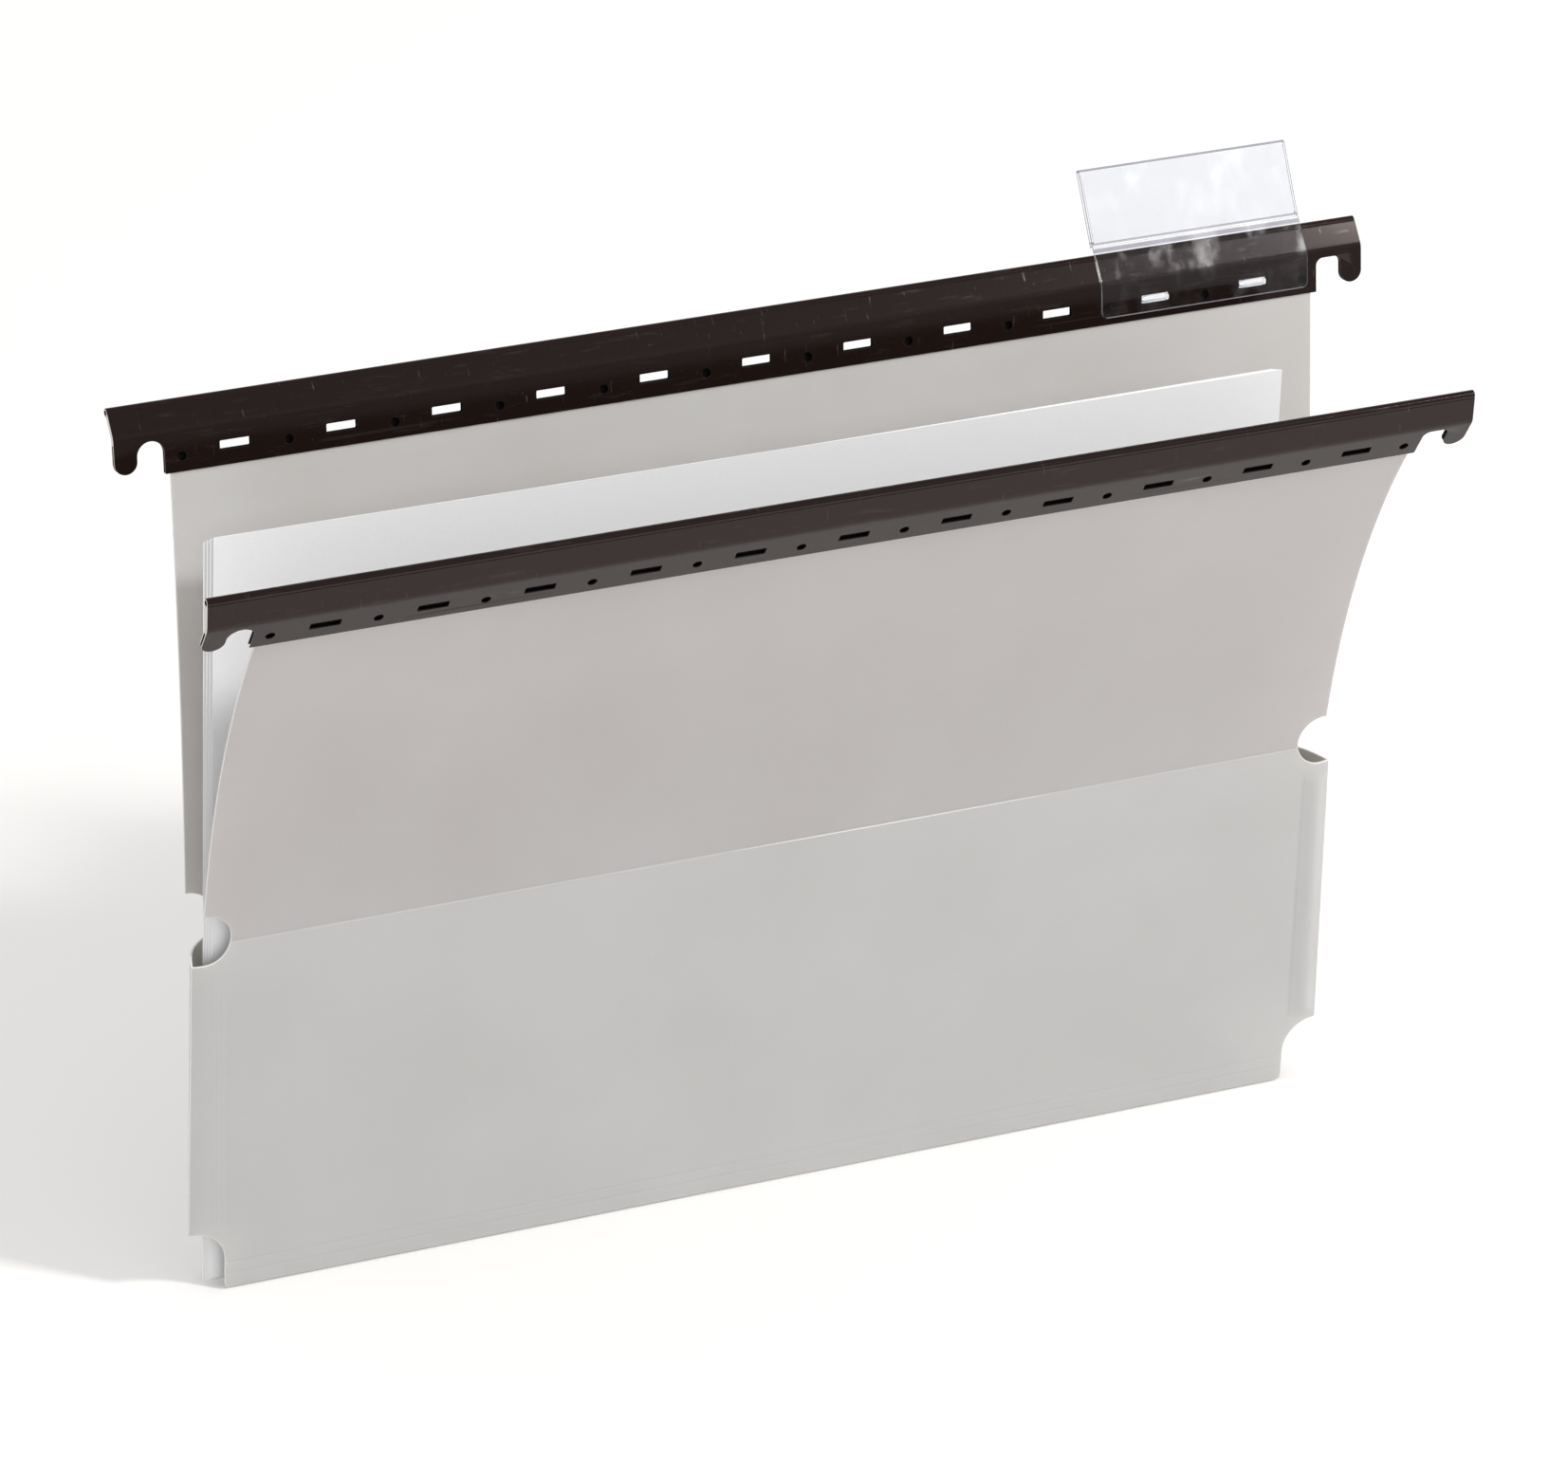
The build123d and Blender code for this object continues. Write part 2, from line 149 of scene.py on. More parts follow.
# Index tab and card
TAB_WIDTH = 60.0
TAB_X = 4.5 * SLOT_PITCH
TAB_THICKNESS = 0.7
TAB_OFFSET = RAIL_THICKNESS / 2 + 0.1 + TAB_THICKNESS / 2
TAB_FOOT = 2.0
TAB_RISE = 2.0
TAB_CORNER = 1.5
LABEL_LEAN = 22.0
LABEL_HEIGHT = 20.4
LABEL_GAP = 0.55
CARD_WIDTH = 58.4
CARD_HEIGHT = 18.5
CARD_THICKNESS = 0.25
CARD_CLEARANCE = 0.15
LUG_CLEARANCE = 0.3
LUG_REACH = 1.3
LUG_CORNER = 0.6
LUG_EDGE_ROUND = 0.25
TAB_EDGE_ROUND = 0.15
TAB_END_BAND = 0.1
TAB_LINE_BANDS = ((-1.4, -0.5), (0.45, 0.8))  # lines in the grey edge finish, painted shade; from the foot of the label pocket
CARD_CORNER = 0.3
CARD_EDGE_ROUND = 0.05

# Papers
PAPER_COUNT = 4
PAPER_WIDTH = 297.0
PAPER_HEIGHT = 210.0
PAPER_THICKNESS = 0.25
PAPER_PITCH = 0.4
PAPER_SHIFT = -7.8
PAPER_SETBACK = -1.2
PAPER_FAN_SHIFT = 0.4
PAPER_FAN_LIFT = 0.45
PAPER_FLOOR = SHEET + 0.3
PAPER_CORNER = 0.2
PAPER_THINNING = 0.05        # how much thinner than the solid a paper is drawn
PAPER_EDGE_ROUND = 0.04
PAPER_BOW = 0.5              # how far a paper bows, and between which heights the bow grows
PAPER_BOW_HEIGHTS = (40.0, 200.0)

# How far apart the plates are cut so that they can bend
PANEL_PITCH = 18.0
PANEL_RISE_PITCH = 5.0
FOLD_PITCH = 0.4
FOLD_MARGIN = 1.1            # how far before a side's fold the close cuts begin
BASE_ROUND_PITCH = 0.3
FLAP_PITCH = 16.0
FLAP_RISE_PITCH = 4.0
CREASE_PITCH = 0.1
RAIL_PITCH = 24.0
PAPER_CUT_PITCH = 15.0

# Straight steps along a curve
CORNER_STEPS = 4
NOTCH_STEPS = 14
FOOT_STEPS = 6
FLAP_NOTCH_STEPS = 16
HOOK_NOTCH_STEPS = 12
HOOK_LEG_STEPS = 16
HOLE_STEPS = 24
BEAD_STEPS = 28
RAIL_BEND_STEPS = 8
TAB_BEND_STEPS = 8
TAB_TOP_STEPS = 12
TAB_CORNER_STEPS = 8

# Meshes, in millimetres and degrees
SAME_POINT = 0.0005
CUT_REACH = 0.001
SHORTEST_BEND = 0.001
SHORTEST_EDGE = 0.005
SHARP_ANGLE = 24

# How far a face's normal points along a plate's depth or, for an end, along X
FLAT_FACING = 0.999
SURFACE_FACING = 0.95
PUNCHED_FACING = 0.9
END_FACING = 0.7
WALL_FACING = 0.01
INSIDE_FACING = 0.1          # times the depth of a rail's wall

# Places in a piece's list of finishes; the third paints shade inside openings and the rails' groove
SURFACE, CUT_EDGE, OPENING_SHADE = range(3)

# Floor, light and camera, in metres and degrees. An azimuth is counted from the front to the right.
FLOOR_COLOUR = (0.8, 0.79, 0.778)
FLOOR_GLOW = 0.16
FLOOR_HALF = 6.0
FLOOR_FRONT = 0.8            # how far the floor goes to the front
CEILING_LEVEL = 0.3          # how bright reflections of the room are overhead and to the front
CEILING_FADE = (0.37, 0.72)
FRONT_LEVEL = 0.25
FRONT_FADE = (-0.6, -0.95)
CAMERA_AZIMUTH = -25.82
CAMERA_ELEVATION = 27.71
CAMERA_ROLL = 2.57
CAMERA_DISTANCE = 2.18256
CAMERA_SHIFT = (0.0043, 0.0276)

# The rest of these, in millimetres
FLOOR_GAP = 0.05             # how far below the base the floor lies
LAMP_AIM = 110.0             # the height that a lamp looks at
CAMERA_AIM = (0.0, -0.6, 120.0)
CAMERA_LENS = 194.4
CAMERA_SENSOR = 36.0

Leaf = namedtuple("Leaf", "crease_y crease_lean rail_lean length inward")
FRONT_LEAF = Leaf(crease_y=MOUTH_FRONT, crease_lean=-4.6, rail_lean=-31.0, length=106.8, inward=1)
BACK_LEAF = Leaf(crease_y=MOUTH_BACK, crease_lean=3.05, rail_lean=9.0, length=121.9, inward=-1)


def stepped(point, lean, length):
    """The (y, z) point reached from another by going a length up along a lean."""
    return (point[0] + length * sin(radians(lean)), point[1] + length * cos(radians(lean)))


def leaf_spot(leaf, length):
    """The (y, z) point and the lean of a leaf's middle, a length above its crease."""
    curved = max(min(length, leaf.length), SHORTEST_BEND)
    half_turn = (leaf.rail_lean - leaf.crease_lean) * curved / leaf.length / 2
    chord = curved * sin(radians(half_turn)) / radians(half_turn)
    start = (leaf.crease_y + leaf.inward * SHEET / 2, CREASE_HEIGHT)
    point = stepped(start, leaf.crease_lean + half_turn, chord)
    lean = leaf.crease_lean + 2 * half_turn
    return stepped(point, lean, length - curved), lean


CROWN = stepped(leaf_spot(BACK_LEAF, BACK_LEAF.length)[0], BACK_LEAF.rail_lean, HOOK_NOTCH_DEPTH)


def placed(x, y, z):
    """A standing point in the part's own frame, in metres."""
    return Vector((x, y - CROWN[0], z - CROWN[1])) * MM


def smooth(low, high, value):
    """0 below low, 1 above high and a smooth rise between them."""
    share = min(max((value - low) / (high - low), 0.0), 1.0)
    return share * share * (3 - 2 * share)


# Flat outlines

def arc(centre, radius, start, end, count):
    """Points on an arc from one angle to another, in degrees."""
    angles = [radians(start + (end - start) * i / count) for i in range(count + 1)]
    return [(centre[0] + radius * cos(a), centre[1] + radius * sin(a)) for a in angles]


def rounded(x, v, width, height, radius):
    """A rectangle about a middle point, with rounded corners."""
    dx = width / 2 - radius
    dv = height / 2 - radius
    points = []
    for side_x, side_v, start in ((1, 1, 0), (-1, 1, 90), (-1, -1, 180), (1, -1, 270)):
        points += arc((x + side_x * dx, v + side_v * dv), radius, start, start + 90, CORNER_STEPS)
    return points


def mirrored(right):
    """A closed outline from the points of its right side and their mirror image."""
    return right + [(-x, v) for x, v in reversed(right)]


def slots(clearance):
    """The outlines of a rail's slots, widened by a clearance all round."""
    spots = [(i - (SLOT_COUNT - 1) / 2) * SLOT_PITCH for i in range(SLOT_COUNT)]
    size = (SLOT_LENGTH + 2 * clearance, SLOT_HEIGHT + 2 * clearance)
    return [rounded(x, SLOT_LEVEL, *size, SLOT_CORNER) for x in spots]


def holes(clearance):
    """The outlines of the holes that clinch the sheet in a rail, widened by a clearance all round."""
    spots = [(i - SLOT_COUNT / 2) * SLOT_PITCH for i in range(SLOT_COUNT + 1)]
    last = 360 - 360 / HOLE_STEPS
    return [arc((x, HOLE_LEVEL), HOLE_RADIUS + clearance, 0, last, HOLE_STEPS - 1) for x in spots]


# Meshes

def facing(face):
    """Whether a plate's face is its flat, the wall of an edge or the rounding between them."""
    slant = abs(face.normal.z)
    return "flat" if slant > FLAT_FACING else "wall" if slant < WALL_FACING else "rounding"


def plate(outline, openings, thickness, rounding):
    """A flat plate with rounded edges from closed outlines, its depth along Z, its cut edges marked."""
    curve = bpy.data.curves.new("outline", "CURVE")
    curve.dimensions = "2D"
    curve.fill_mode = "BOTH"
    curve.extrude = thickness / 2 - rounding
    curve.bevel_depth = rounding
    curve.bevel_resolution = 1
    curve.offset = -rounding
    for loop in [outline, *openings]:
        spline = curve.splines.new("POLY")
        spline.points.add(len(loop) - 1)
        for point, (x, v) in zip(spline.points, loop):
            point.co = (x, v, 0, 1)
        spline.use_cyclic_u = True
    holder = bpy.data.objects.new("outline", curve)
    mesh = bpy.data.meshes.new_from_object(holder)
    bm = bmesh.new()
    bm.from_mesh(mesh)
    bpy.data.objects.remove(holder)
    bpy.data.curves.remove(curve)
    bpy.data.meshes.remove(mesh)
    bmesh.ops.remove_doubles(bm, verts=bm.verts, dist=SAME_POINT)
    bmesh.ops.recalc_face_normals(bm, faces=bm.faces)
    for face in bm.faces:
        face.material_index = SURFACE if abs(face.normal.z) > SURFACE_FACING else CUT_EDGE
    for edge in bm.edges:
        edge.smooth = len({facing(face) for face in edge.link_faces}) == 1
    return bm


def sliced(bm, axis, stations):
    """Cut a plate along an axis at each station, so that it can bend there."""
    across = Vector((axis == 0, axis == 1, 0))
    for station in stations:
        everything = bm.verts[:] + bm.edges[:] + bm.faces[:]
        bmesh.ops.bisect_plane(
            bm, geom=everything, dist=CUT_REACH, plane_co=across * station, plane_no=across
        )


def spread(low, high, pitch):
    """Stations between two ends, about a pitch apart."""
    count = max(round((high - low) / pitch), 1)
    return [low + (high - low) * i / count for i in range(1, count)]


def outward(bm):
    """Turn a closed mesh's faces to the outside."""
    if bm.calc_volume(signed=True) < 0:
        bmesh.ops.reverse_faces(bm, faces=bm.faces)
    return bm


def bent(bm, place):
    """Move each point of a plate to where a rule puts its x, v and depth."""
    bmesh.ops.dissolve_degenerate(bm, dist=SHORTEST_EDGE, edges=bm.edges)
    for vert in bm.verts:
        vert.co = place(*vert.co)
    return outward(bm)


def merged(parts):
    """Several meshes as one."""
    whole = bmesh.new()
    for part in parts:
        mesh = bpy.data.meshes.new("part")
        part.to_mesh(mesh)
        part.free()
        whole.from_mesh(mesh)
        bpy.data.meshes.remove(mesh)
    return whole


def piece(name, bm, finishes, node=None, body=None):
    """Make an object of a mesh with its finishes, riding on a body in the place of a node."""
    for face in bm.faces:
        face.smooth = True
    for edge in bm.edges:
        if edge.is_manifold and edge.calc_face_angle() > radians(SHARP_ANGLE):
            edge.smooth = False
    mesh = bpy.data.meshes.new(name)
    bm.to_mesh(mesh)
    bm.free()
    for finish in finishes:
        mesh.materials.append(finish)
    made = bpy.data.objects.new(name, mesh)
    bpy.context.scene.collection.objects.link(made)
    if node:
        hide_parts(node)
    if body:
        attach(made, body)
    return made


# Plastic sheet

def side_half(z):
    """Half the pocket's width at a height."""
    return POCKET_BASE_HALF + (POCKET_MOUTH_HALF - POCKET_BASE_HALF) * z / CREASE_HEIGHT


def panel_y(side, z):
    """Where the pocket's front (-1) or back (1) panel lies at a height, on its outer face."""
    mouth = MOUTH_BACK if side > 0 else MOUTH_FRONT
    return side * BASE_DEPTH / 2 + (mouth - side * BASE_DEPTH / 2) * z / CREASE_HEIGHT


def side_dip(side, x, z):
    """How far a panel turns in beside the fold at its side, with the pressed lines or the rib there."""
    share = max((abs(x) - POCKET_FLAT_HALF) / (side_half(z) - POCKET_FLAT_HALF), 0.0)
    depth = panel_y(1, z) - panel_y(-1, z)
    front = depth * (RIGHT_FOLD_SHARE if x > 0 else LEFT_FOLD_SHARE)
    reach = front if side < 0 else depth - front - SHEET
    ends = smooth(*PRESSED_FOOT, z) * (1 - smooth(*PRESSED_HEAD, z))
    if x > 0:
        edge = RIB_STEP * smooth(0.0, RIB_EDGE_SHARE, share)
        crest = RIB_SWELL * smooth(0.0, RIB_CREST_SHARE, share)
        pressed = -(edge + crest) * (1 - smooth(RIB_CREST_SHARE, 1.0, share))
    else:
        pressed = sum(LINE_DEPTH * exp(-((abs(x) - line) / LINE_SPREAD) ** 2) for line in LEFT_LINES)
    return reach * share ** FOLD_POWER + pressed * ends


def slack(x, z):
    """The slight unevenness of a large flat of sheet."""
    broad = sin(x / BROAD_WAVE[0] + BROAD_WAVE_START[0]) * sin(z / BROAD_WAVE[1] + BROAD_WAVE_START[1])
    narrow = NARROW_WAVE_SHARE * sin(x / NARROW_WAVE[0] - z / NARROW_WAVE[1])
    return SLACK_DEPTH * (broad + narrow) * smooth(0, SLACK_HEIGHT, z)


def scores(z):
    """How far the sheet is pressed in at the scored lines above the base."""
    return sum(SCORE_DEPTH * exp(-((z - height) / SCORE_SPREAD) ** 2) for height in SCORE_HEIGHTS)


def pocket_point(x, v, depth):
    """Where a point of the pocket's blank lies: down the front, across the base and up the back."""
    side = 1 if v > 0 else -1
    run = abs(v) - BASE_DEPTH / 2
    inset = depth + SHEET / 2
    if run < -BASE_ROUND:
        return placed(x, v, inset)
    if run < BASE_ROUND:
        turn = (run + BASE_ROUND) / (2 * BASE_ROUND) * pi / 2
        radius = BASE_ROUND - inset
        y = BASE_DEPTH / 2 - BASE_ROUND + radius * sin(turn)
        return placed(x, side * y, BASE_ROUND - radius * cos(turn))
    step = 0.05
    dip = side_dip(side, x, run)
    slope = (side_dip(side, x + step, run) - side_dip(side, x - step, run)) / (2 * step)
    length = sqrt(1 + slope * slope)
    uneven = slack(x, run) * (1 - smooth(*SLACK_SIDES, abs(x)))
    tucked = dip + inset / length + scores(run) + uneven
    return placed(x - slope * inset / length, panel_y(side, run) - side * tucked, run)


def notch_end():
    """Half the length of a crease, between the round notches at its ends."""
    rise = SIDE_NOTCH_HEIGHT - CREASE_HEIGHT
    return SIDE_NOTCH_X + SIDE_NOTCH_RADIUS - sqrt(SIDE_NOTCH_RADIUS ** 2 - rise ** 2)


def panel_edge():
    """The right edge of the pocket's panel as (x, z) points, from the crease down to the base."""
    notch = (SIDE_NOTCH_X + SIDE_NOTCH_RADIUS, SIDE_NOTCH_HEIGHT)
    start = 180 + 180 / pi * asin((SIDE_NOTCH_HEIGHT - CREASE_HEIGHT) / SIDE_NOTCH_RADIUS)
    low = SIDE_NOTCH_HEIGHT - SIDE_NOTCH_RADIUS
    points = arc(notch, SIDE_NOTCH_RADIUS, start, 270, NOTCH_STEPS)
    points += [(side_half(low), low), (side_half(BASE_NOTCH_HEIGHT), BASE_NOTCH_HEIGHT)]
    corner = (BASE_NOTCH_X + BASE_NOTCH_RADIUS, BASE_NOTCH_HEIGHT - BASE_NOTCH_RADIUS)
    points += arc(corner, BASE_NOTCH_RADIUS, 90, 180, NOTCH_STEPS)
    foot = (BASE_NOTCH_X - BASE_CORNER_RADIUS, BASE_CORNER_RADIUS)
    return points + arc(foot, BASE_CORNER_RADIUS, 0, -90, FOOT_STEPS)


def pocket(finishes):
    """The pocket: one blank folded round the base, its sides turned in to meet."""
    half_base = BASE_DEPTH / 2
    edge = panel_edge()
    right = [(x, -half_base - z) for x, z in edge] + [(x, half_base + z) for x, z in reversed(edge)]
    bm = plate(mirrored(right), [], SHEET, SHEET_EDGE_ROUND)
    across = spread(-POCKET_FLAT_HALF, POCKET_FLAT_HALF, PANEL_PITCH)
    fold = spread(POCKET_FLAT_HALF - FOLD_MARGIN, POCKET_BASE_HALF, FOLD_PITCH)
    across += [side * x for side in (-1, 1) for x in fold]
    for line in LEFT_LINES:
        across += [-line + step * LINE_SPREAD / 2 for step in (-4, -2, -1, 0, 1, 2, 4)]
    sliced(bm, 0, across)
    along = spread(half_base - BASE_ROUND, half_base + BASE_ROUND, BASE_ROUND_PITCH)
    along += [half_base - BASE_ROUND]
    along += [half_base + z for z in spread(BASE_ROUND, CREASE_HEIGHT, PANEL_RISE_PITCH)]
    for height in SCORE_HEIGHTS:
        along += [half_base + height + step * SCORE_SPREAD / 2 for step in range(-4, 5)]
    along += [half_base + z for z in PRESSED_STATIONS]
    sliced(bm, 1, [side * v for v in along for side in (-1, 1)])
    bent(bm, pocket_point)
    piece("pocket", bm, finishes, "pocket_sheet", "pocket")


def flap(leaf, name, finishes, node, body):
    """A flap from its crease up into its rail."""
    notch = (SIDE_NOTCH_X + SIDE_NOTCH_RADIUS, SIDE_NOTCH_HEIGHT - CREASE_HEIGHT)
    end = 180 / pi * asin((SIDE_NOTCH_HEIGHT - CREASE_HEIGHT) / SIDE_NOTCH_RADIUS)
    start = 180 / pi * acos((FLAP_HALF - notch[0]) / SIDE_NOTCH_RADIUS)
    right = [(FLAP_HALF, leaf.length + TUCK)]
    right += arc(notch, SIDE_NOTCH_RADIUS, start, 180 + end, FLAP_NOTCH_STEPS)
    punched = slots(SHEET_SLOT_ROOM) + holes(SHEET_HOLE_ROOM)
    openings = [[(x, v + leaf.length) for x, v in loop] for loop in punched]
    bm = plate(mirrored(right), openings, SHEET, SHEET_EDGE_ROUND)
    # The sheet's cut edges inside the rail take painted shade, dark like the rail's inside.
    for face in bm.faces:
        spot = face.calc_center_median()
        in_rail = 0 < spot.y - leaf.length < TUCK - FLAP_TOP_BAND
        if face.material_index == CUT_EDGE and in_rail and abs(spot.x) < FLAP_HALF - FLAP_SIDE_BAND:
            face.material_index = OPENING_SHADE
    sliced(bm, 0, spread(-FLAP_HALF, FLAP_HALF, FLAP_PITCH))
    sliced(bm, 1, spread(0, leaf.length, FLAP_RISE_PITCH))
    fade_start, fade_end = (leaf.length - below for below in SLACK_BELOW_RAIL)

    def place(x, length, depth):
        spot, lean = leaf_spot(leaf, length)
        shift = depth + slack(x, length) * (1 - smooth(fade_start, fade_end, length))
        y, z = stepped(spot, lean + 90, shift)
        return placed(x, y, z)

    bent(bm, place)
    piece(name, bm, finishes, node, body)


def crease(leaf, name, finishes, pocket_side):
    """The pale scored line along a crease, which bends between the pocket and a leaf."""
    half = notch_end() - CREASE_END_GAP
    outline = rounded(0, 0, 2 * half, 2 * CREASE_STRIP, CREASE_CORNER)
    bm = plate(outline, [], SHEET + CREASE_RAISE, CREASE_EDGE_ROUND)
    sliced(bm, 0, spread(-half, half, FLAP_PITCH))
    sliced(bm, 1, spread(-CREASE_STRIP, CREASE_STRIP, CREASE_PITCH))

    def place(x, length, depth):
        if length > 0:
            spot, lean = leaf_spot(leaf, length)
            y, z = stepped(spot, lean + 90, depth)
            return placed(x, y, z)
        z = CREASE_HEIGHT + length
        return placed(x, panel_y(pocket_side, z) - pocket_side * SHEET / 2 + depth, z)

    bent(bm, place)
    made = piece(name, bm, finishes)
    reach = CREASE_STRIP * CREASE_BLEND_SHARE
    low = placed(0, leaf.crease_y, CREASE_HEIGHT - reach)
    high = placed(0, leaf.crease_y, CREASE_HEIGHT + reach)
    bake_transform(made)


# Rails

BEND_START = FLANGE_HEIGHT - RAIL_BEND_RADIUS * tan(radians(RAIL_BEND / 2))
BEND_LENGTH = RAIL_BEND_RADIUS * radians(RAIL_BEND)
RAIL_TOP = BEND_START + BEND_LENGTH + STRIP_HEIGHT - BEAD_RADIUS - (FLANGE_HEIGHT - BEND_START)


def band_spot(v, depth):
    """The (depth, height) point in a rail's section at a length up its flange and bent strip."""
    turn = min(max((v - BEND_START) / BEND_LENGTH, 0), 1) * radians(RAIL_BEND)
    y = RAIL_BEND_RADIUS * (1 - cos(turn))
    z = min(v, BEND_START) + RAIL_BEND_RADIUS * sin(turn)
    past = max(v - BEND_START - BEND_LENGTH, 0)
    return (y + past * sin(turn) + depth * cos(turn), z + past * cos(turn) - depth * sin(turn))


def rail_point(leaf, x, depth, height):
    """A point of a rail's own section, placed."""
    foot, lean = leaf_spot(leaf, leaf.length)
    y, z = stepped(stepped(foot, lean, height), lean + 90, depth)
    return placed(x, y, z)


def hook_edge(corner):
    """A rail's right end as (x, v) points, from the lower edge beside the notch to the top."""
    leg_x = RAIL_HALF - HOOK_LEG_WIDTH
    inner_x = leg_x - HOOK_NOTCH_WIDTH
    crown = HOOK_NOTCH_DEPTH - corner
    leg_radius = HOOK_LEG_WIDTH / 2
    points = [(inner_x, 0)]
    points += arc((inner_x + corner, crown), corner, 180, 90, HOOK_NOTCH_STEPS)
    points += arc((leg_x - corner, crown), corner, 90, 0, HOOK_NOTCH_STEPS)
    leg = (RAIL_HALF - leg_radius, HOOK_LEG_SHORTENING + leg_radius)
    return points + arc(leg, leg_radius, 180, 360, HOOK_LEG_STEPS)


def rail_wall(leaf, depth, thickness, low, high, openings):
    """One wall of a rail's folded strip, with its hooks where it goes down to the lower edge."""
    if low > 0:
        outline = rounded(0, (low + high) / 2, 2 * RAIL_HALF, high - low, RAIL_EDGE_ROUND)
    else:
        right = hook_edge(HOOK_NOTCH_CORNER) + [(RAIL_HALF, high)]
        left = hook_edge(HOOK_NOTCH_WIDTH / 2) + [(RAIL_HALF, high)]
        outline = right + [(-x, v) for x, v in reversed(left)]
    bm = plate(outline, openings, thickness, RAIL_EDGE_ROUND)
    lowest, highest = PUNCHED_LEVELS
    for face in bm.faces:
        spot = face.calc_center_median()
        cut_end = abs(face.normal.x) > END_FACING and abs(spot.x) > RAIL_HALF - RAIL_END_BAND
        among_slots = abs(spot.x) < RAIL_HALF - HOOK_ROOM and lowest < spot.y < highest
        punched = among_slots and abs(face.normal.z) < PUNCHED_FACING
        inside = face.normal.z * depth < -INSIDE_FACING
        # Slots, holes and the faces towards the groove take painted shade; the cut ends take bare
        # steel.
        face.material_index = CUT_EDGE if cut_end else OPENING_SHADE if punched or inside else SURFACE
    sliced(bm, 0, spread(-RAIL_HALF, RAIL_HALF, RAIL_PITCH))
    sliced(bm, 1, [BEND_START + BEND_LENGTH * i / RAIL_BEND_STEPS for i in range(RAIL_BEND_STEPS + 1)])
    return bent(bm, lambda x, v, d: rail_point(leaf, x, *band_spot(v, depth + d)))


def rail_bead(leaf):
    """The hollow bead along a rail's top, where its strip is folded."""
    shift = BEAD_RADIUS - RAIL_THICKNESS / 2
    rings = []
    for x in (-RAIL_HALF, RAIL_HALF):
        inner_x = x - BEAD_CHAMFER if x > 0 else x + BEAD_CHAMFER
        bore_x = x - BEAD_BORE_LEAD if x > 0 else x + BEAD_BORE_LEAD
        ring = [
            (inner_x, BEAD_RADIUS),
            (x, BEAD_RADIUS - BEAD_CHAMFER),
            (x, BEAD_BORE_RADIUS + BEAD_CHAMFER),
            (bore_x, BEAD_BORE_RADIUS),
        ]
        rings += ring[::-1] if x < 0 else ring
    flat_ends = (1, 5)
    bm = bmesh.new()
    loops = []
    for x, radius in rings:
        angles = [2 * pi * i / BEAD_STEPS for i in range(BEAD_STEPS)]
        spots = [band_spot(RAIL_TOP + radius * sin(a), shift + radius * cos(a)) for a in angles]
        loops.append([bm.verts.new(rail_point(leaf, x, *spot)) for spot in spots])
    for index, loop in enumerate(loops):
        following = loops[(index + 1) % len(loops)]
        for i in range(BEAD_STEPS):
            j = (i + 1) % BEAD_STEPS
            face = bm.faces.new((loop[i], loop[j], following[j], following[i]))
            face.material_index = CUT_EDGE if index in flat_ends else SURFACE
    return outward(bm)


def rail(leaf, name, finishes, node, body):
    """A rail: two walls with the sheet between them, joined above the groove and folded at the bead."""
    wall = RAIL_THICKNESS / 2 - GROOVE_HALF
    middle = GROOVE_HALF + wall / 2
    parts = [
        rail_wall(leaf, -middle, wall, 0, RAIL_TOP - FRONT_WALL_GAP, slots(0) + holes(0)),
        rail_wall(leaf, middle, wall, 0, RAIL_TOP - BACK_WALL_GAP, slots(0)),
        rail_wall(leaf, 0, 2 * GROOVE_HALF + FILLER_LAP, GROOVE_DEPTH, RAIL_TOP - BACK_WALL_GAP, []),
        rail_bead(leaf),
    ]
    piece(name, merged(parts), finishes, node, body)


# Index tab and card

TAB_BEND_RADIUS = RAIL_BEND_RADIUS + TAB_OFFSET
TAB_BEND_START = FLANGE_HEIGHT + (TAB_OFFSET - TAB_BEND_RADIUS) * tan(radians(RAIL_BEND / 2))
TAB_BEND = (-TAB_OFFSET, FLANGE_HEIGHT + TAB_OFFSET * tan(radians(RAIL_BEND / 2)))
LABEL_FOOT = stepped(TAB_BEND, RAIL_BEND, STRIP_HEIGHT + TAB_RISE)
TAB_LINES = [(LABEL_FOOT[1] + low, LABEL_FOOT[1] + high) for low, high in TAB_LINE_BANDS]


def label_spot(height, depth):
    """The (depth, height) point in the label pocket, up from its foot and back from its front pane."""
    return stepped(stepped(LABEL_FOOT, LABEL_LEAN, height), LABEL_LEAN + 90, depth)


def tab_side(depth):
    """The tab's front plate from its foot to the label pocket, a depth off its middle."""
    points = [stepped((-TAB_OFFSET, TAB_FOOT), 90, depth)]
    centre = (-TAB_OFFSET + TAB_BEND_RADIUS, TAB_BEND_START)
    for i in range(TAB_BEND_STEPS + 1):
        turn = RAIL_BEND * i / TAB_BEND_STEPS
        points.append(stepped(centre, turn - 90, TAB_BEND_RADIUS - depth))
    return points


def tab_corner(v):
    """How far the tab's sides draw in at the rounded corners of its foot."""
    rise = min(max(v - TAB_FOOT, 0), TAB_CORNER)
    return TAB_CORNER - sqrt(max(TAB_CORNER ** 2 - (TAB_CORNER - rise) ** 2, 0))


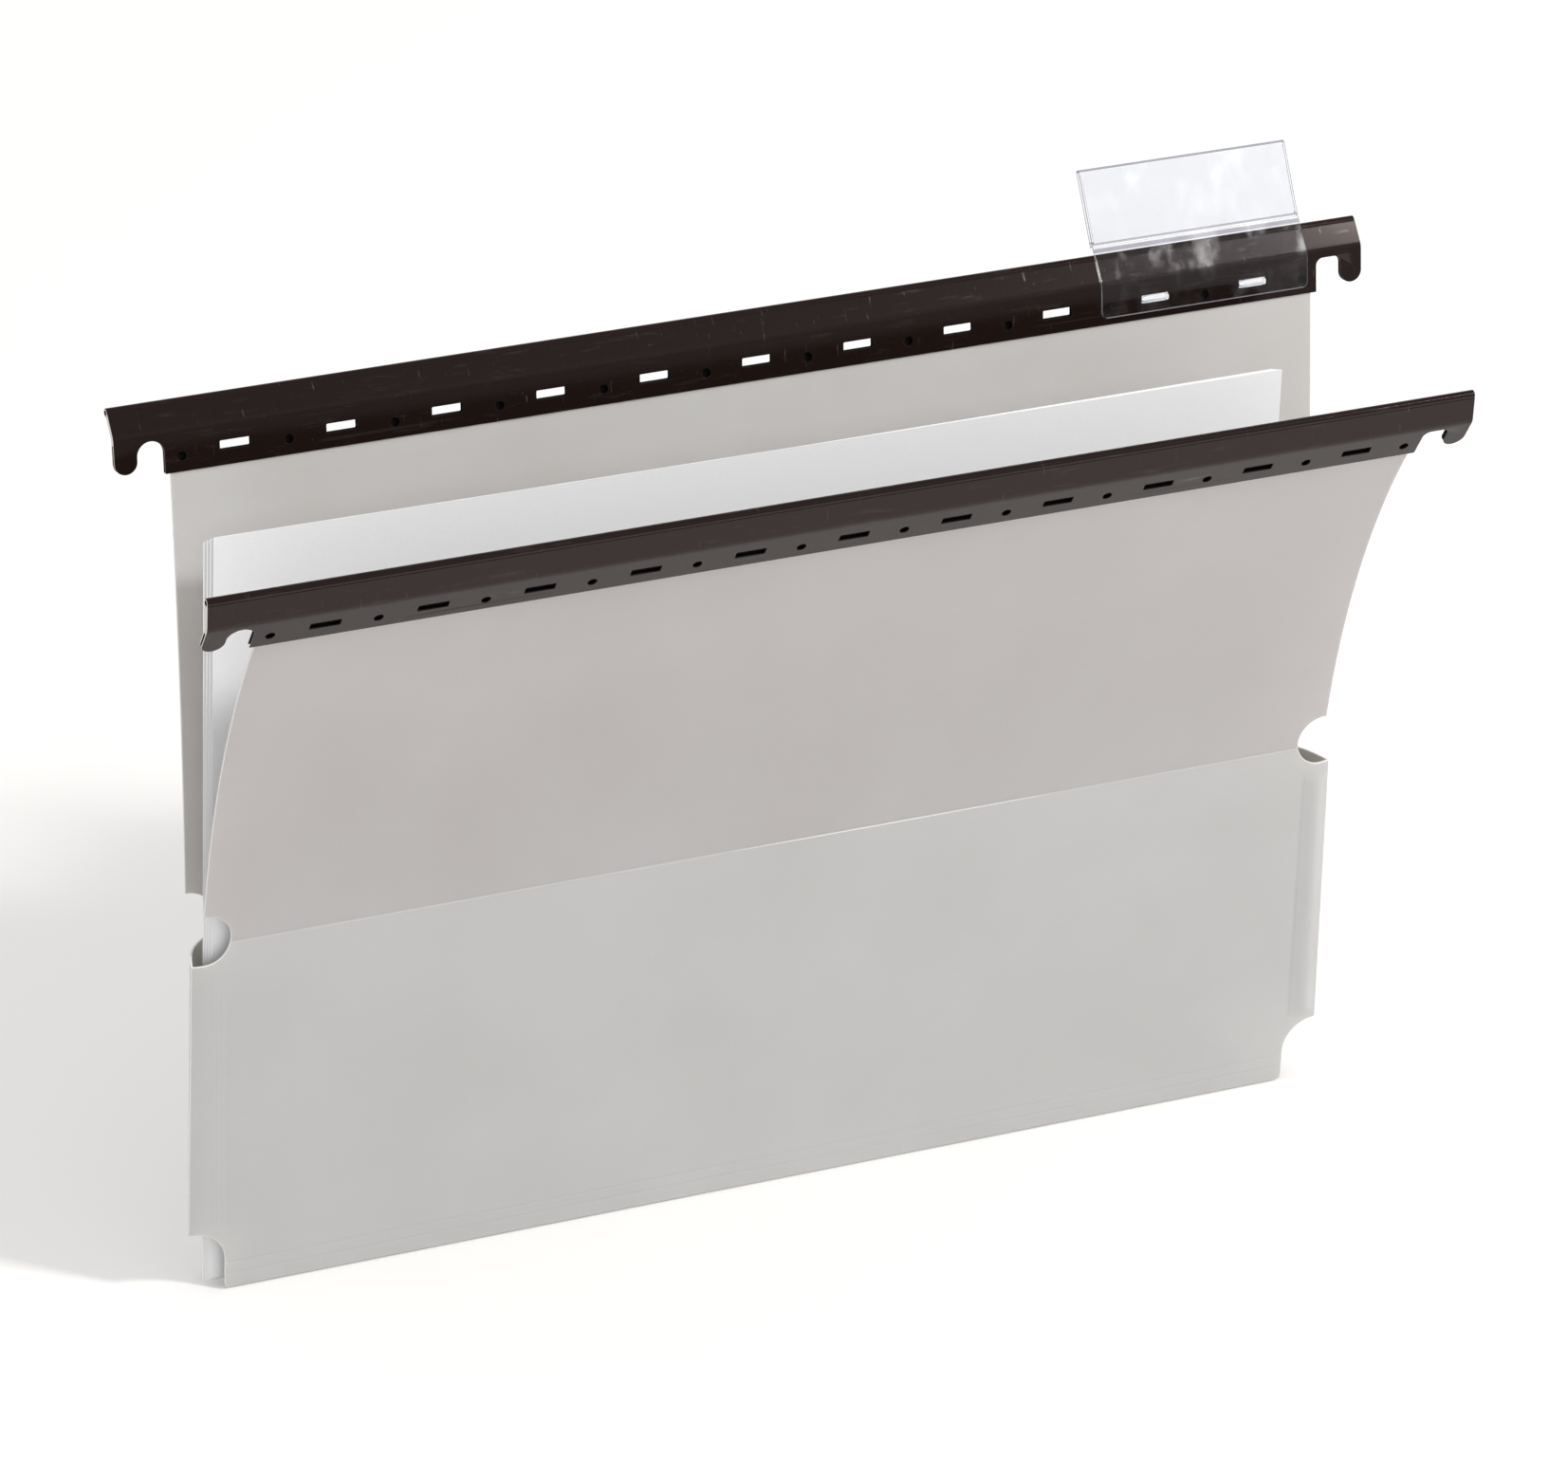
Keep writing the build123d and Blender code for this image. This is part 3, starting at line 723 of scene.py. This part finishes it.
def index_tab(finishes):
    """The clear tab: a bent front plate, the flat label pocket above it and two lugs behind it."""
    half = TAB_THICKNESS / 2
    back = half + LABEL_GAP + TAB_THICKNESS
    outline = tab_side(-half) + [label_spot(0, -half)]
    top = label_spot(LABEL_HEIGHT - back / 2 - half / 2, (back - half) / 2)
    for i in range(TAB_TOP_STEPS + 1):
        outline.append(stepped(top, LABEL_LEAN - 90 + 180 / TAB_TOP_STEPS * i, (back + half) / 2))
    outline += [label_spot(0, back), label_spot(0, half)] + tab_side(half)[::-1]
    room = [(TAB_THICKNESS, half), (TAB_THICKNESS, half + LABEL_GAP)]
    room += [(LABEL_HEIGHT - TAB_THICKNESS, half + LABEL_GAP), (LABEL_HEIGHT - TAB_THICKNESS, half)]
    bm = plate(outline, [[label_spot(*corner) for corner in room]], TAB_WIDTH, TAB_EDGE_ROUND)
    turns = [radians(90 / TAB_CORNER_STEPS * i) for i in range(1, TAB_CORNER_STEPS + 1)]
    sliced(bm, 1, [TAB_FOOT + TAB_CORNER * (1 - cos(turn)) for turn in turns])
    sliced(bm, 1, [level for line in TAB_LINES for level in line])
    up_label = stepped((0, 0), LABEL_LEAN, 1)
    for face in bm.faces:
        spot = face.calc_center_median()
        rise = (spot.xy - Vector(LABEL_FOOT)).dot(up_label)
        at_top = rise > LABEL_HEIGHT - TAB_THICKNESS
        end = abs(face.normal.z) > END_FACING or at_top or spot.y < TAB_FOOT + TAB_END_BAND
        lined = any(low < spot.y < high for low, high in TAB_LINES)
        # Cut edges and the lines take the grey edge finish, painted shade for the dark lines of clear
        # plastic.
        face.material_index = CUT_EDGE if end or lined else SURFACE

    def place(depth, height, across):
        side = 1 if across > 0 else -1
        return rail_point(BACK_LEAF, TAB_X + across - side * tab_corner(height), depth, height)

    parts = [bent(bm, place)]
    lug_length = TAB_OFFSET - half + RAIL_THICKNESS / 2 + LUG_REACH
    lug_middle = -TAB_OFFSET + half + lug_length / 2
    for side in (-1, 1):
        size = (SLOT_LENGTH - 2 * LUG_CLEARANCE, SLOT_HEIGHT - 2 * LUG_CLEARANCE)
        outline = rounded(side * SLOT_PITCH / 2, SLOT_LEVEL, *size, LUG_CORNER)
        lug = plate(outline, [], lug_length, LUG_EDGE_ROUND)
        for face in lug.faces:
            face.material_index = SURFACE
        parts.append(bent(lug, lambda x, v, d: rail_point(BACK_LEAF, TAB_X + x, lug_middle + d, v)))
    piece("clear_tab", merged(parts), finishes, "index_tab", "index_tab")


def label_card(finishes):
    """The blank card in the label pocket."""
    low = TAB_THICKNESS + CARD_CLEARANCE
    middle = (TAB_THICKNESS + LABEL_GAP) / 2
    outline = rounded(0, low + CARD_HEIGHT / 2, CARD_WIDTH, CARD_HEIGHT, CARD_CORNER)
    bm = plate(outline, [], CARD_THICKNESS, CARD_EDGE_ROUND)
    bent(bm, lambda x, v, d: rail_point(BACK_LEAF, TAB_X + x, *label_spot(v, middle + d)))
    piece("card", bm, finishes, "label_card", "label_card")


# Papers

def paper(index, finishes):
    """A paper in the pocket, counted from 0 at the front, each with its own small turn and shift."""
    lean = atan2(MOUTH_FRONT + BASE_DEPTH / 2, CREASE_HEIGHT)
    depth = PAPER_SETBACK + (index - (PAPER_COUNT - 1) / 2) * PAPER_PITCH
    lift = asin((PAPER_COUNT - 1 - index) * PAPER_FAN_LIFT / PAPER_WIDTH)
    right = PAPER_SHIFT - index * PAPER_FAN_SHIFT + PAPER_WIDTH / 2
    foot = Matrix.Translation((right, depth, PAPER_FLOOR))
    turn = foot @ Matrix.Rotation(-lean, 4, "X") @ Matrix.Rotation(lift, 4, "Y")
    outline = rounded(-PAPER_WIDTH / 2, PAPER_HEIGHT / 2, PAPER_WIDTH, PAPER_HEIGHT, PAPER_CORNER)
    bm = plate(outline, [], PAPER_THICKNESS - PAPER_THINNING, PAPER_EDGE_ROUND)
    sliced(bm, 0, spread(-PAPER_WIDTH, 0, PAPER_CUT_PITCH))
    sliced(bm, 1, spread(0, PAPER_HEIGHT, PAPER_CUT_PITCH))

    def place(x, v, d):
        bow = PAPER_BOW * sin(pi * x / PAPER_WIDTH) * smooth(*PAPER_BOW_HEIGHTS, v)
        return placed(*(turn @ Vector((x, d + bow, v))))

    bent(bm, place)
    number = index + 1
    piece(f"paper_{number}", bm, finishes, f"paper_sheet_{number}", "papers")


# Finishes

def combined(tree, operation, first, second):
    """Two values as one, by an operation; the second may be a plain number."""
    node = tree.nodes.new("ShaderNodeMath")
    node.operation = operation
    tree.links.new(first, node.inputs[0])
    if isinstance(second, float):
        node.inputs[1].default_value = second
    else:
        tree.links.new(second, node.inputs[1])
    return node.outputs[0]


def shared_group(name, result, **values):
    """A node group with its inputs, each set to a value, and its one output."""
    group = bpy.data.node_groups.new(name, "ShaderNodeTree")
    for title, value in values.items():
        socket = group.interface.new_socket(title, in_out="INPUT", socket_type="NodeSocketFloat")
        socket.default_value = value
    group.interface.new_socket(result, in_out="OUTPUT", socket_type="NodeSocketFloat")
    return group


def grain_group():
    """Noise at a scale as a value about the middle, shared by the finishes."""
    group = shared_group("surface_grain", "Value", Scale=100.0, Detail=3.0)
    inside = group.nodes.new("NodeGroupInput")
    outside = group.nodes.new("NodeGroupOutput")
    spot = group.nodes.new("ShaderNodeTexCoord")
    noise = group.nodes.new("ShaderNodeTexNoise")
    group.links.new(spot.outputs["Object"], noise.inputs["Vector"])
    group.links.new(inside.outputs["Scale"], noise.inputs["Scale"])
    group.links.new(inside.outputs["Detail"], noise.inputs["Detail"])
    group.links.new(noise.outputs["Fac"], outside.inputs["Value"])
    return group


def scuff_group():
    """Scuffs and fine scratches as a mask, drawn out along X by a stretch."""
    group = shared_group("scuffs", "Mask", Scale=60.0, Stretch=0.2, Low=0.55, High=0.75)
    inside = group.nodes.new("NodeGroupInput")
    outside = group.nodes.new("NodeGroupOutput")
    spot = group.nodes.new("ShaderNodeTexCoord")
    apart = group.nodes.new("ShaderNodeSeparateXYZ")
    again = group.nodes.new("ShaderNodeCombineXYZ")
    noise = group.nodes.new("ShaderNodeTexNoise")
    noise.inputs["Detail"].default_value = 6.0
    noise.inputs["Roughness"].default_value = 0.65
    ramp = group.nodes.new("ShaderNodeMapRange")
    link = group.links.new
    link(spot.outputs["Object"], apart.inputs[0])
    link(combined(group, "MULTIPLY", apart.outputs["X"], inside.outputs["Stretch"]), again.inputs["X"])
    link(apart.outputs["Y"], again.inputs["Y"])
    link(apart.outputs["Z"], again.inputs["Z"])
    link(again.outputs[0], noise.inputs["Vector"])
    link(inside.outputs["Scale"], noise.inputs["Scale"])
    link(noise.outputs["Fac"], ramp.inputs["Value"])
    link(inside.outputs["Low"], ramp.inputs["From Min"])
    link(inside.outputs["High"], ramp.inputs["From Max"])
    link(ramp.outputs["Result"], outside.inputs["Mask"])
    return group


GRAIN = grain_group()
SCUFFS = scuff_group()


def finish_start(name, colour, roughness):
    """A new finish with its shader set to a colour and a roughness."""
    finish = bpy.data.materials.new(name)
    finish.use_nodes = True
    shader = finish.node_tree.nodes["Principled BSDF"]
    shader.inputs["Base Color"].default_value = (*colour, 1)
    shader.inputs["Roughness"].default_value = roughness
    return finish, shader


def placed_group(finish, group, **values):
    """A shared group placed in a finish with its own values; gives its first output."""
    node = finish.node_tree.nodes.new("ShaderNodeGroup")
    node.node_tree = group
    for name, value in values.items():
        node.inputs[name].default_value = value
    return node.outputs[0]


def ranged(tree, source, low, high, from_low=0.0, from_high=1.0):
    """A value carried from one range to another."""
    node = tree.nodes.new("ShaderNodeMapRange")
    node.inputs["From Min"].default_value = from_low
    node.inputs["From Max"].default_value = from_high
    node.inputs["To Min"].default_value = low
    node.inputs["To Max"].default_value = high
    tree.links.new(source, node.inputs["Value"])
    return node.outputs["Result"]


def roughened(finish, shader, source, low, high):
    """Roughness that runs between two levels with a value."""
    tree = finish.node_tree
    tree.links.new(ranged(tree, source, low, high), shader.inputs["Roughness"])


def toned(finish, shader, source, low, high):
    """Colour that runs between two tones with a value."""
    mix = finish.node_tree.nodes.new("ShaderNodeMix")
    mix.data_type = "RGBA"
    colours = [socket for socket in mix.inputs if socket.type == "RGBA"]
    colours[0].default_value = (*low, 1)
    colours[1].default_value = (*high, 1)
    result = next(socket for socket in mix.outputs if socket.type == "RGBA")
    finish.node_tree.links.new(source, mix.inputs[0])
    finish.node_tree.links.new(result, shader.inputs["Base Color"])


def bumped(finish, shader, source, distance, strength):
    """Fine relief from a value, a distance deep in millimetres."""
    bump = finish.node_tree.nodes.new("ShaderNodeBump")
    bump.inputs["Distance"].default_value = distance * MM
    bump.inputs["Strength"].default_value = strength
    finish.node_tree.links.new(source, bump.inputs["Height"])
    finish.node_tree.links.new(bump.outputs["Normal"], shader.inputs["Normal"])


def sheet_finish(name, low, high):
    """Grey polypropylene: a fine matt grain and faint clouding."""
    finish, shader = finish_start(name, high, 0.5)
    cloud = placed_group(finish, GRAIN, Scale=26.0, Detail=3.0)
    clouding = ranged(finish.node_tree, cloud, 0, 1, from_low=0.3, from_high=0.7)
    toned(finish, shader, clouding, low, high)
    grain = placed_group(finish, GRAIN, Scale=2600.0, Detail=4.0)
    roughened(finish, shader, grain, 0.42, 0.58)
    bumped(finish, shader, grain, distance=0.02, strength=0.5)
    shader.inputs["Subsurface Weight"].default_value = 1.0
    shader.inputs["Subsurface Radius"].default_value = (1.0, 0.95, 0.9)
    shader.inputs["Subsurface Scale"].default_value = 1.6 * MM
    return finish


def edge_finish():
    """The sheet's pale cut edges."""
    finish, shader = finish_start("sheet_edge", (0.8, 0.79, 0.77), 0.45)
    grain = placed_group(finish, GRAIN, Scale=900.0, Detail=3.0)
    toned(finish, shader, grain, (0.74, 0.73, 0.71), (0.86, 0.85, 0.83))
    return finish


def crease_finish():
    """The whitened line of a crease."""
    finish, shader = finish_start("crease_line", (0.53, 0.52, 0.51), 0.45)
    grain = placed_group(finish, GRAIN, Scale=120.0, Detail=3.0)
    toned(finish, shader, grain, (0.5, 0.49, 0.48), (0.55, 0.54, 0.53))
    return finish


def lacquer_finish():
    """Dark brown lacquer on steel, with short scratches across the rail, rubs along it and specks."""
    lacquer = (0.012, 0.0068, 0.0058)
    rubbed = (0.11, 0.09, 0.085)
    finish, shader = finish_start("rail_lacquer", lacquer, 0.2)
    scratches = placed_group(finish, SCUFFS, Scale=120.0, Stretch=6.0, Low=0.65, High=0.84)
    rubs = placed_group(finish, SCUFFS, Scale=520.0, Stretch=0.15, Low=0.58, High=0.86)
    specks = placed_group(finish, SCUFFS, Scale=1100.0, Stretch=1.0, Low=0.68, High=0.8)
    tree = finish.node_tree
    marks = combined(tree, "MAXIMUM", scratches, ranged(tree, rubs, 0.0, 0.28))
    marks = combined(tree, "MAXIMUM", marks, specks)
    toned(finish, shader, marks, lacquer, rubbed)
    roughened(finish, shader, marks, 0.1, 0.45)
    shader.inputs["Specular IOR Level"].default_value = 0.34
    shader.inputs["Specular Tint"].default_value = (1.0, 0.87, 0.85, 1)
    peel = placed_group(finish, GRAIN, Scale=900.0, Detail=3.0)
    bumped(finish, shader, peel, distance=0.02, strength=0.15)
    return finish


def slot_shade_finish():
    """Painted shade for the inside of the rails, their slots and holes and the sheet's openings there:
    near black, dull and matt.
    """
    finish, shader = finish_start("slot_painted_shade", (0.005, 0.0035, 0.003), 0.7)
    grain = placed_group(finish, GRAIN, Scale=900.0, Detail=3.0)
    roughened(finish, shader, grain, 0.6, 0.8)
    shader.inputs["Specular IOR Level"].default_value = 0.1
    return finish


def steel_finish():
    """Bare steel at a rail's cut ends."""
    finish, shader = finish_start("bare_steel", (0.62, 0.6, 0.58), 0.35)
    shader.inputs["Metallic"].default_value = 1.0
    grain = placed_group(finish, GRAIN, Scale=1500.0, Detail=3.0)
    roughened(finish, shader, grain, 0.25, 0.5)
    return finish


def clear_finish(name, colour, clearness):
    """Clear hard plastic with fine scratches, which lets light through to the card behind it."""
    finish, shader = finish_start(name, colour, 0.04)
    shader.inputs["Transmission Weight"].default_value = clearness
    shader.inputs["IOR"].default_value = 1.3
    scratches = placed_group(finish, SCUFFS, Scale=90.0, Stretch=1.6, Low=0.5, High=0.72)
    roughened(finish, shader, scratches, 0.02, 0.12)
    tree = finish.node_tree
    nodes = tree.nodes
    link = tree.links.new
    link(ranged(tree, scratches, 0.0, 0.6), shader.inputs["Coat Weight"])
    shader.inputs["Coat Roughness"].default_value = 0.3
    path = nodes.new("ShaderNodeLightPath")
    soft = combined(tree, "MAXIMUM", path.outputs["Is Shadow Ray"], path.outputs["Is Diffuse Ray"])
    through = nodes.new("ShaderNodeBsdfTransparent")
    through.inputs["Color"].default_value = (0.95, 0.955, 0.965, 1)
    mix = nodes.new("ShaderNodeMixShader")
    link(soft, mix.inputs["Fac"])
    link(shader.outputs[0], mix.inputs[1])
    link(through.outputs[0], mix.inputs[2])
    link(mix.outputs[0], nodes["Material Output"].inputs["Surface"])
    return finish


def paper_finish(name, low, high):
    """White paper with its fibres."""
    finish, shader = finish_start(name, high, 0.85)
    fibres = placed_group(finish, GRAIN, Scale=1200.0, Detail=5.0)
    toned(finish, shader, fibres, low, high)
    bumped(finish, shader, fibres, distance=0.02, strength=0.4)
    return finish


SLOT_SHADE_FINISH = slot_shade_finish()
SHEET_FINISHES = [
    sheet_finish("grey_sheet", (0.5, 0.493, 0.489), (0.522, 0.519, 0.516)),
    edge_finish(),
    SLOT_SHADE_FINISH,
]
# Painted shade: the front flap is the same sheet as the pocket, drawn a little darker and warmer, since
# the pocket has white papers close behind it that light it through.
SHADED_FLAP_FINISHES = [
    sheet_finish("grey_flap_painted_shade", (0.458, 0.438, 0.438), (0.478, 0.461, 0.462)),
    *SHEET_FINISHES[CUT_EDGE:],
]
CREASE_FINISHES = [crease_finish(), SHEET_FINISHES[CUT_EDGE]]
RAIL_FINISHES = [lacquer_finish(), steel_finish(), SLOT_SHADE_FINISH]
TAB_FINISHES = [
    clear_finish("clear_plastic", (0.955, 0.965, 0.985), 1.0),
    # The tab's edges: grey and half clear, painted shade for the dark lines that clear plastic shows at
    # its edges.
    clear_finish("clear_edge_painted_shade", (0.42, 0.42, 0.47), 0.55),
]
PAPER_FINISHES = [
    paper_finish("white_paper", (0.9, 0.905, 0.92), (0.95, 0.955, 0.965)),
    # The papers' cut edges are painted a little lighter than the paper: a painted highlight where they
    # catch the light.
    paper_finish("paper_edge_painted_highlight", (0.92, 0.92, 0.93), (0.97, 0.97, 0.98)),
]
CARD_FINISHES = [
    paper_finish("white_card", (0.78, 0.78, 0.785), (0.84, 0.84, 0.845)),
    # The card's cut edges are painted grey: painted shade for the dark line along the card's edge.
    paper_finish("card_edge_painted_shade", (0.55, 0.55, 0.57), (0.66, 0.66, 0.68)),
]

pocket(SHEET_FINISHES)
flap(FRONT_LEAF, "sheet_front", SHADED_FLAP_FINISHES, "front_flap", "front_leaf")
flap(BACK_LEAF, "sheet_back", SHEET_FINISHES, "back_flap", "back_leaf")
crease(FRONT_LEAF, "crease_front", CREASE_FINISHES, -1)
crease(BACK_LEAF, "crease_back", CREASE_FINISHES, 1)
rail(FRONT_LEAF, "steel_front_rail", RAIL_FINISHES, "front_rail", "front_leaf")
rail(BACK_LEAF, "steel_back_rail", RAIL_FINISHES, "back_rail", "back_leaf")
index_tab(TAB_FINISHES)
label_card(CARD_FINISHES)
for index in range(PAPER_COUNT):
    paper(index, PAPER_FINISHES)


# Floor, light and camera

def seen_rays(tree):
    """1 for rays to the camera, reflected or through clear plastic, that meet no matt surface first."""
    path = tree.nodes.new("ShaderNodeLightPath")
    seen = path.outputs["Is Camera Ray"]
    for kind in ("Is Glossy Ray", "Is Transmission Ray"):
        seen = combined(tree, "MAXIMUM", seen, path.outputs[kind])
    direct = combined(tree, "LESS_THAN", path.outputs["Diffuse Depth"], 0.5)
    return combined(tree, "MULTIPLY", seen, direct)


def floor():
    """A pale floor that shows white to the camera and keeps the shadow."""
    bm = bmesh.new()
    bmesh.ops.create_grid(bm, x_segments=8, y_segments=8, size=FLOOR_HALF)
    bmesh.ops.translate(bm, verts=bm.verts, vec=(0, FLOOR_HALF - FLOOR_FRONT, 0))
    mesh = bpy.data.meshes.new("floor")
    bm.to_mesh(mesh)
    bm.free()
    made = bpy.data.objects.new("floor", mesh)
    made.location = placed(0, 0, -FLOOR_GAP)
    bpy.context.scene.collection.objects.link(made)
    finish = bpy.data.materials.new("pale_floor")
    finish.use_nodes = True
    tree = finish.node_tree
    nodes = tree.nodes
    link = tree.links.new
    nodes.remove(nodes["Principled BSDF"])
    diffuse = nodes.new("ShaderNodeBsdfDiffuse")
    diffuse.inputs["Color"].default_value = (*FLOOR_COLOUR, 1)
    glow = nodes.new("ShaderNodeEmission")
    link(combined(tree, "MULTIPLY", seen_rays(tree), FLOOR_GLOW), glow.inputs["Strength"])
    both = nodes.new("ShaderNodeAddShader")
    link(diffuse.outputs[0], both.inputs[0])
    link(glow.outputs[0], both.inputs[1])
    link(both.outputs[0], nodes["Material Output"].inputs["Surface"])
    mesh.materials.append(finish)


def area_light(name, azimuth, elevation, distance, size, power, colour):
    """A soft lamp that looks at the folder's middle from an azimuth and an elevation."""
    lamp = bpy.data.lights.new(name, "AREA")
    lamp.shape = "RECTANGLE"
    lamp.size, lamp.size_y = size
    lamp.energy = power
    lamp.color = colour
    made = bpy.data.objects.new(name, lamp)
    middle = placed(0, 0, LAMP_AIM)
    turn = radians(azimuth)
    rise = radians(elevation)
    towards = Vector((sin(turn) * cos(rise), -cos(turn) * cos(rise), sin(rise)))
    made.location = middle + towards * distance
    made.rotation_euler = towards.to_track_quat("Z", "Y").to_euler()
    bpy.context.scene.collection.objects.link(made)


def world_light(strength, colour):
    """Even light from all round, white as the background and dimmer in reflections of the room."""
    world = bpy.data.worlds.new("studio")
    bpy.context.scene.world = world
    world.use_nodes = True
    tree = world.node_tree
    nodes = tree.nodes
    link = tree.links.new
    fill = nodes["Background"]
    fill.inputs["Color"].default_value = (*colour, 1)
    fill.inputs["Strength"].default_value = strength
    white = nodes.new("ShaderNodeBackground")
    white.inputs["Color"].default_value = (1, 1, 1, 1)
    towards = nodes.new("ShaderNodeTexCoord")
    apart = nodes.new("ShaderNodeSeparateXYZ")
    link(towards.outputs["Generated"], apart.inputs[0])
    overhead = ranged(tree, apart.outputs["Z"], 1.0, CEILING_LEVEL, *CEILING_FADE)
    in_front = ranged(tree, apart.outputs["Y"], 1.0, FRONT_LEVEL, *FRONT_FADE)
    room = combined(tree, "MULTIPLY", overhead, in_front)
    path = nodes.new("ShaderNodeLightPath")
    link(combined(tree, "MAXIMUM", path.outputs["Is Camera Ray"], room), white.inputs["Strength"])
    mix = nodes.new("ShaderNodeMixShader")
    link(seen_rays(tree), mix.inputs["Fac"])
    link(fill.outputs[0], mix.inputs[1])
    link(white.outputs[0], mix.inputs[2])
    link(mix.outputs[0], nodes["World Output"].inputs["Surface"])


def camera():
    """The camera: in front, to the left and above, with a small turn and off-centre framing."""
    azimuth, elevation, roll = (radians(a) for a in (CAMERA_AZIMUTH, CAMERA_ELEVATION, CAMERA_ROLL))
    back = Vector((sin(azimuth) * cos(elevation), -cos(azimuth) * cos(elevation), sin(elevation)))
    level = Vector((cos(azimuth), sin(azimuth), 0))
    upright = back.cross(level)
    right = level * cos(roll) + upright * sin(roll)
    up = upright * cos(roll) - level * sin(roll)
    lens = bpy.data.cameras.new("camera")
    lens.sensor_width = CAMERA_SENSOR
    lens.lens = CAMERA_LENS
    lens.shift_x, lens.shift_y = CAMERA_SHIFT
    lens.clip_end = 50
    made = bpy.data.objects.new("camera", lens)
    turn = Matrix((right, up, back)).transposed().to_4x4()
    made.matrix_world = Matrix.Translation(placed(*CAMERA_AIM) + back * CAMERA_DISTANCE) @ turn
    bpy.context.scene.collection.objects.link(made)
    bpy.context.scene.camera = made


floor()
world_light(strength=0.8, colour=(1.0, 0.998, 0.99))
area_light(
    "key",
    azimuth=48.8,
    elevation=40.6,
    distance=3.4,
    size=(0.36, 0.42),
    power=69.0,
    colour=(1.0, 0.99, 0.98),
)
camera()
bpy.context.scene.view_settings.view_transform = "Standard"
